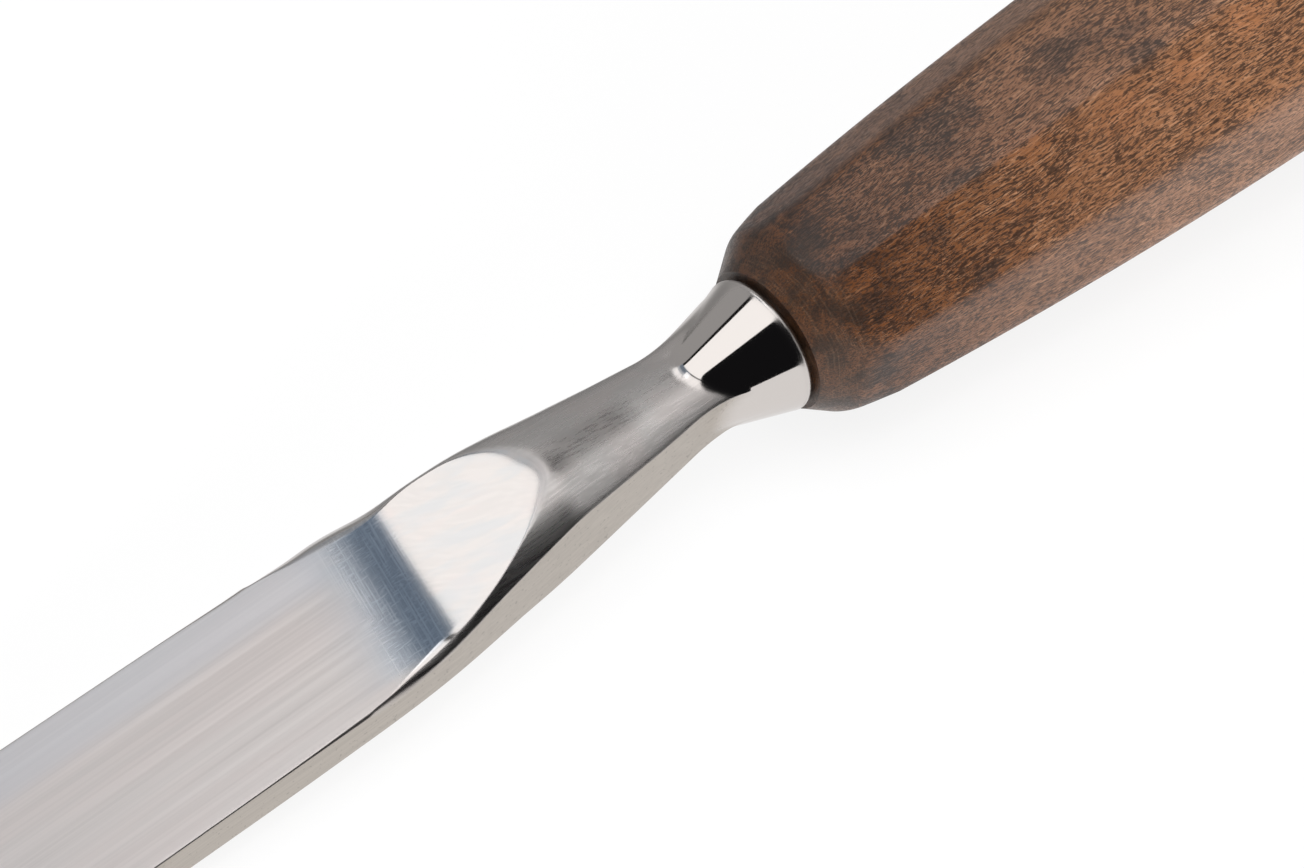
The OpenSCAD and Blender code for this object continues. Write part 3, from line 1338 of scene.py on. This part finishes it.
    @staticmethod
    def _roughness(graph: Graph, marks: SteelMarks) -> Socket:
        """Roughness: brightest on ramp and bolster, dullest on the rubbed rim.

        Args:
            graph: The finish's graph.
            marks: Marks on the forging.

        Returns:
            The roughness.
        """
        face = graph.ease(marks.streak, 0.25, 0.75, 0.31, 0.36)
        ramp = graph.ease(marks.askew, 45.0, 52.0, 0.09, 0.30)
        neck = graph.ease(marks.scuff, 0.25, 0.75, 0.24, 0.34)
        rough = graph.blend(marks.side, neck, 0.36)
        rough = graph.blend(marks.ground, rough, graph.blend(marks.on_ramp, face, ramp))
        rough = graph.blend(marks.rim, rough, 0.42)
        far = graph.ease(marks.y, -3.8, -2.0, 0.30, 0.06)
        collar = graph.plus(far, graph.ease(marks.x, 1.8, 0.5, 0.0, 0.2))
        return graph.blend(marks.collar, rough, collar)

    @staticmethod
    def _height(graph: Graph, marks: SteelMarks) -> Socket:
        """Relief: honing strokes on the ramp, scuffs and pits on what isn't ground.

        Args:
            graph: The finish's graph.
            marks: Marks on the forging.

        Returns:
            The height.
        """
        lines = graph.plus(graph.times(marks.strokes, 0.45), graph.times(marks.cross, 0.10))
        honed = graph.times(graph.times(marks.on_ramp, lines), marks.ground)
        pitted = graph.times(graph.times(marks.pits, marks.side), 0.8)
        rubbed = graph.less(graph.times(marks.scuff, 0.4), pitted)
        height = graph.plus(honed, graph.times(rubbed, graph.less(1.0, marks.ground)))
        return graph.times(height, graph.ease(marks.collar, 0.0, 0.6, 1.0, 0.06))


@dataclass(frozen=True)
class RingSteel:
    """Plain drawn steel with turning lines."""

    name: str = "ring_steel"
    plain: Colour = (0.52, 0.50, 0.48)
    bright: Colour = (0.7, 0.68, 0.66)
    relief: float = 3e-6

    def make(self, rest: Rest, effects: Effects) -> bpy.types.Material:
        """Builds the finish.

        Args:
            rest: How the tool lies.
            effects: Shared node groups.

        Returns:
            The material.
        """
        material, graph, shader, _ = new_material(self.name)
        place = tool_place(graph, rest)
        turning = effects.line(graph, place, 6.0, 0.1, detail=2.0)
        dull = effects.patch(graph, place, 0.5, 0.4, 0.65)
        colour = graph.mix(dull, self.plain, dim(self.plain, 0.7))
        colour = graph.mix(graph.ease(turning, 0.3, 0.7, 0.0, 0.4), colour, self.bright)
        graph.feed(shader.inputs["Base Color"], colour)
        graph.feed(shader.inputs["Roughness"], graph.ease(turning, 0.3, 0.7, 0.25, 0.42))
        shader.inputs["Metallic"].default_value = 1.0
        graph.bump(shader, turning, self.relief)
        return material


@dataclass(frozen=True)
class WoodMarks:
    """Marks on the handle that its colour, gloss and relief all read."""

    behind: Socket
    fibre: Socket
    mottle: Socket
    smoky: Socket
    warm: Socket
    sooty: Socket
    dark: Socket
    turning: Socket
    domed: Socket


@dataclass(frozen=True)
class StainedWood:
    """Oiled brown wood: short dark flecks along the grain, smoky and orange patches."""

    name: str = "stained_wood"
    brown: Colour = (0.102, 0.035, 0.011)
    pale: Colour = (0.248, 0.112, 0.052)
    tan: Colour = (0.43, 0.235, 0.13)
    orange: Colour = (1.5, 1.12, 0.8)
    umber: Colour = (0.080, 0.032, 0.013)
    fleck: Colour = (0.011, 0.006, 0.004)
    smoke: Colour = (0.024, 0.019, 0.017)
    dome: Colour = (0.034, 0.019, 0.011)
    turned: Colour = (0.14, 0.085, 0.05)
    soot: Colour = (0.020, 0.009, 0.005)
    grain: float = 0.6
    gloss: float = 0.55
    relief: float = 1.2e-5
    smoky: tuple[Spot, ...] = (
        (-22.9, -1.7, 12.0, 5.0), (-20.8, -3.4, 11.9, 3.6), (-21.2, 4.0, 11.9, 3.0),
        (-39.2, -0.4, 13.2, 4.4), (-44.6, 4.8, 13.4, 2.6), (-46.0, 1.6, 13.5, 2.4),
        (-2.1, -2.9, 8.5, 2.6), (-15.7, 6.6, 9.5, 2.6), (-18.7, 11.1, 5.4, 2.2),
        (-70.0, -12.0, 8.0, 4.0), (-95.0, -8.0, -11.0, 5.0), (-60.0, 6.0, -13.0, 4.0),
        (-104.0, 9.0, 10.0, 4.5), (-84.0, 0.0, 14.0, 3.0),
    )
    warm: tuple[Spot, ...] = (
        (-39.5, 7.6, 11.0, 3.0), (-47.6, 8.2, 11.1, 2.4), (-56.9, 7.4, 12.4, 3.2),
        (-28.1, 5.0, 12.3, 2.6), (-75.0, -6.0, 13.0, 4.0), (-90.0, 13.0, 2.0, 4.0),
        (-50.0, -13.0, -3.0, 4.0),
    )

    def make(self, rest: Rest, effects: Effects) -> bpy.types.Material:
        """Builds the finish.

        Args:
            rest: How the tool lies.
            effects: Shared node groups.

        Returns:
            The material.
        """
        material, graph, shader, _ = new_material(self.name)
        marks = self._marks(graph, tool_place(graph, rest), effects)
        rough = graph.ease(graph.plus(marks.fibre, marks.dark), 0.3, 1.2, 0.28, 0.46)
        graph.feed(shader.inputs["Base Color"], self._colour(graph, marks))
        graph.feed(shader.inputs["Roughness"], rough)
        shader.inputs["Specular IOR Level"].default_value = self.gloss
        graph.bump(shader, self._height(graph, marks), self.relief)
        return material

    def _marks(self, graph: Graph, place: Socket, effects: Effects) -> WoodMarks:
        """Works out the marks.

        Args:
            graph: The finish's graph.
            place: The place on the tool.
            effects: Shared node groups.

        Returns:
            The marks.
        """
        behind = graph.times(graph.axes(place)[0], -1.0)
        wavy = graph.warped(place, 0.07, 1.1)
        curly = graph.warped(place, 0.30, 3.0)
        ragged = graph.warped(curly, 0.9, 1.6)
        flame = graph.drawn_out(curly, 0.7)

        # Grain and patches
        fibre = effects.line(graph, wavy, 0.22, 5.5, detail=2.0)
        mottle = effects.patch(graph, flame, 0.14, 0.40, 0.64)
        blot = graph.noise(flame, 0.5, 3.0, 0.6).outputs["Fac"]
        loose = graph.plus(graph.less(fibre, 0.5), graph.times(graph.less(blot, 0.5), 2.2))
        smoky = graph.ease(graph.plus(self.spots(graph, ragged, self.smoky), loose), 0.40, 1.0)
        warm = self.spots(graph, ragged, self.warm)
        mouth = graph.noise(graph.drawn_out(curly, 0.8), 0.33, 4.0, 0.62).outputs["Fac"]
        sooty = graph.times(graph.ease(mouth, 0.42, 0.60), graph.ease(behind, 15.0, 5.0))

        # Dark flecks, crowded in places
        gather = effects.patch(graph, graph.drawn_out(curly, 0.5), 0.35, 0.30, 0.70, detail=4.0)
        crowd = graph.most(gather, graph.most(smoky, sooty))
        crowd = graph.less(crowd, graph.times(warm, 0.5))
        dash = effects.line(graph, wavy, 1.0, 6.2, detail=1.5)
        speck = effects.line(graph, wavy, 1.6, 8.5)
        dashes = graph.ease(graph.plus(dash, graph.times(crowd, 0.08)), 0.57, 0.61)
        specks = graph.ease(graph.plus(speck, graph.times(crowd, 0.07)), 0.57, 0.62)

        return WoodMarks(
            behind, fibre, mottle, smoky, warm, sooty,
            dark=graph.most(dashes, graph.times(specks, 0.8)),
            turning=effects.line(graph, graph.warped(place, 0.2, 1.0), 7.0, 0.30, detail=2.0),
            domed=graph.ease(graph.plus(behind, graph.times(mottle, -2.0)), 6.0, 1.2),
        )

    def _colour(self, graph: Graph, marks: WoodMarks) -> Socket:
        """Stains the wood, darker towards the mouth, then lays flecks and turning lines on it.

        Args:
            graph: The finish's graph.
            marks: Marks on the handle.

        Returns:
            The colour.
        """
        age = graph.ease(graph.plus(marks.behind, graph.times(marks.mottle, 6.0)), 4.0, 54.0)
        light = graph.ease(marks.fibre, 0.52, 0.70, 0.0, 0.45)
        light = graph.times(light, graph.ease(age, 0.0, 0.5, 0.35, 1.0))
        colour = graph.mix(age, self.brown, self.pale)
        colour = graph.mix(graph.times(marks.mottle, 0.12), colour, self.umber)
        colour = graph.mix(graph.times(marks.warm, 0.16), colour, self.orange, "MULTIPLY")
        colour = graph.mix(graph.ease(marks.fibre, 0.30, 0.5, 0.65, 0.0), colour, self.umber)
        colour = graph.mix(light, colour, self.tan)
        colour = graph.mix(graph.times(marks.smoky, 0.45), colour, self.smoke)
        colour = graph.mix(graph.times(marks.sooty, 0.8), colour, self.soot)
        colour = graph.mix(graph.times(marks.dark, 0.82), colour, self.fleck)
        rubbed = graph.mix(graph.ease(marks.turning, 0.5, 0.72, 0.0, 0.7), self.dome, self.turned)
        return graph.mix(graph.times(marks.domed, 0.38), colour, rubbed)

    @staticmethod
    def _height(graph: Graph, marks: WoodMarks) -> Socket:
        """Relief: raised fibres, sunk flecks, and turning lines on the dome of the mouth."""
        height = graph.less(graph.times(marks.fibre, 0.6), graph.times(marks.dark, 0.8))
        return graph.plus(height, graph.times(graph.times(marks.turning, marks.domed), 0.8))

    def spots(self, graph: Graph, place: object, spots: Sequence[Spot]) -> Socket:
        """Soft marks at chosen places, drawn out along the grain.

        Args:
            graph: The finish's graph.
            place: Where to read them.
            spots: Each mark's place and radius.

        Returns:
            A mask from 0 to 1.
        """
        total: object = 0.0
        along = graph.vector("MULTIPLY", place, (self.grain, 1.0, 1.0))
        for x, y, z, radius in spots:
            away = graph.vector("DISTANCE", along, (x * self.grain, y, z))
            total = graph.most(total, graph.ease(away, radius, radius * 0.2))
        return total


@dataclass(frozen=True)
class Lamp:
    """One soft panel of light, in metres."""

    name: str
    centre: Triple
    size: Span
    radiance: float
    facing: Facing = Facing.DOWN
    colour: Colour = (1.0, 1.0, 1.0)
    mirrored: bool = True

    def aim(self) -> Triple:
        """The point that the panel faces.

        Returns:
            The point, in metres.
        """
        x, y, z = self.centre
        points = {
            Facing.DOWN: (x, y, 0.0), Facing.ACROSS: (0.0, 0.0, z), Facing.TOOL: (0.0, 0.0, 0.0),
        }
        return points[self.facing]

    def hang(self) -> None:
        """Hangs the panel."""
        data = bpy.data.lights.new(self.name, "AREA")
        data.shape = "RECTANGLE"
        data.size, data.size_y = self.size
        data.energy = self.radiance * math.pi * self.size[0] * self.size[1]
        data.color = self.colour
        lamp = bpy.data.objects.new(self.name, data)
        bpy.context.scene.collection.objects.link(lamp)
        lamp.location = self.centre
        way = Vector(self.aim()) - Vector(self.centre)
        lamp.rotation_euler = way.to_track_quat("-Z", "Y").to_euler()
        lamp.visible_glossy = self.mirrored


@dataclass
class Studio:
    """Camera, lamps and pale floor."""

    eye: Triple = (222.2805, 237.2590, 410.9447)
    ahead: Triple = (-0.399726, -0.456359, -0.794956)
    right: Triple = (-0.755984, 0.654576, 0.004359)
    lens: float = 149.58
    sensor: float = 36.0
    clip: Span = (0.01, 50.0)
    room: Colour = (0.008, 0.008, 0.009)
    floor_size: float = 8.0
    floor_colour: Colour = (0.9, 0.9, 0.9)
    floor_rough: float = 0.9
    floor_glow: float = 0.85
    # Painted shade: how bright the floor looks in reflections beyond the far side, and where that begins.
    painted_shade_level: float = 0.3
    painted_shade_run: Span = (-0.02, -0.055)
    lamps: tuple[Lamp, ...] = (
        Lamp("key", (0.2, 0.2, 2.3), (2.4, 2.4), 2.45, mirrored=False),
        Lamp("fill", (0.3, 2.4, 0.5), (2.4, 1.2), 8.0, Facing.TOOL, mirrored=False),
        Lamp("top", (0.735, -0.54, 2.0), (1.19, 1.92), 1.42),
        Lamp("middle", (-0.46, -0.165, 2.0), (0.98, 1.17), 1.42),
        Lamp("blade", (-0.74, -1.35, 2.0), (0.62, 1.1), 1.5),
        Lamp("hollow", (-0.03, -1.15, 2.03), (0.34, 1.5), 0.25, colour=(0.8, 1.0, 1.25)),
        Lamp("verge", (-0.315, -1.15, 2.03), (0.23, 1.5), 0.6, colour=(0.92, 1.0, 1.08)),
        Lamp("neck", (-1.46, 0.35, 2.0), (1.0, 1.5), 0.8),
        Lamp("back", (0.0, -2.4, 1.35), (6.8, 2.5), 0.42, Facing.ACROSS),
        Lamp("end", (-3.2, 0.0, 0.9), (3.5, 1.6), 0.4, Facing.ACROSS),
        Lamp("left", (-2.03, 1.62, 1.0), (1.5, 1.8), 0.35, Facing.ACROSS),
        Lamp("right", (1.94, 1.67, 1.0), (1.5, 1.8), 0.35, Facing.ACROSS),
    )

    def set_camera(self, rest: Rest) -> None:
        """Sets the camera where the photograph was taken from.

        Args:
            rest: How the tool lies.
        """
        turn = rest.turn()
        ahead = (turn @ Vector(self.ahead)).normalized()
        right = turn @ Vector(self.right)
        right = (right - ahead * right.dot(ahead)).normalized()
        up = right.cross(ahead)
        data = bpy.data.cameras.new("camera")
        data.lens, data.sensor_width, data.sensor_fit = self.lens, self.sensor, "HORIZONTAL"
        data.clip_start, data.clip_end = self.clip
        camera = bpy.data.objects.new("camera", data)
        bpy.context.scene.collection.objects.link(camera)
        basis = Matrix((right, up, -ahead)).transposed().to_4x4()
        basis.translation = Vector(rest.place(np.array([self.eye]))[0])
        camera.matrix_world = basis
        bpy.context.scene.camera = camera

    def light(self) -> None:
        """Hangs the lamps and sets a dim room."""
        for lamp in self.lamps:
            lamp.hang()
        world = bpy.data.worlds.new("room")
        world.use_nodes = True
        world.node_tree.nodes["Background"].inputs["Color"].default_value = (*self.room, 1.0)
        bpy.context.scene.world = world

    def lay_floor(self) -> None:
        """Lays the pale floor, white to the eye and in reflections near the tool, with the tool's shadow;
        in reflections beyond the far side it shows painted shade.
        """
        bpy.ops.object.select_all(action="DESELECT")
        bpy.ops.mesh.primitive_plane_add(size=self.floor_size, location=(0, 0, 0))
        floor = bpy.context.active_object
        floor.name = "floor"
        material, graph, shader, out = new_material("pale_floor")
        shader.inputs["Base Color"].default_value = (*self.floor_colour, 1.0)
        shader.inputs["Roughness"].default_value = self.floor_rough
        path = graph.add("ShaderNodeLightPath").outputs
        seen = graph.most(path["Is Camera Ray"], path["Is Glossy Ray"])
        seen = graph.most(seen, path["Is Transmission Ray"])
        share = graph.times(seen, self.floor_glow)
        glow = graph.add("ShaderNodeEmission", {"Strength": 1.0}).outputs[0]
        white = graph.add("ShaderNodeMixShader", {0: share, 1: shader.outputs["BSDF"], 2: glow})
        # Beyond the far side, glossy rays see the floor as a dim glow: painted shade.
        where = graph.add("ShaderNodeTexCoord").outputs["Object"]
        beyond = graph.ease(graph.axes(where)[1], *self.painted_shade_run)
        beyond = graph.times(beyond, path["Is Glossy Ray"])
        far_painted_shade = graph.add("ShaderNodeEmission", {"Strength": self.painted_shade_level}).outputs[0]
        fade = graph.add("ShaderNodeMixShader", {0: beyond, 1: white.outputs[0], 2: far_painted_shade})
        graph.feed(out.inputs["Surface"], fade.outputs[0])
        floor.data.materials.append(material)


def dress(piece: bpy.types.Object, material: bpy.types.Material) -> None:
    """Gives a piece its finish and reports it.

    Args:
        piece: The piece.
        material: Its finish.
    """
    piece.data.materials.clear()
    piece.data.materials.append(material)
    LOG.info("%s: %d faces in %s", piece.name, len(piece.data.polygons), material.name)


def stand_for(piece: bpy.types.Object, node: str) -> None:
    """Gives a new piece its place in the frame.

    Args:
        piece: The piece.
        node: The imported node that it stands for.
    """
    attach(piece, BODY)
    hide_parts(node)


def main() -> None:
    """Builds the chisel, its finishes and the studio."""
    bpy.context.scene.view_settings.view_transform = "Standard"
    forging, handle, studio = Forging(), Handle(), Studio()
    rest = lie_down(forging, handle)
    studio.set_camera(rest)
    studio.light()
    studio.lay_floor()
    effects = Effects()
    blade = forging.build(rest)
    dress(blade, ForgedSteel().make(rest, effects))
    stand_for(blade, "blade_forging")
    grip = handle.build(rest, forging)
    dress(grip, StainedWood().make(rest, effects))
    stand_for(grip, "handle")
    dress(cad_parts["inner_ring"], RingSteel().make(rest, effects))


if __name__ == "__main__":
    main()
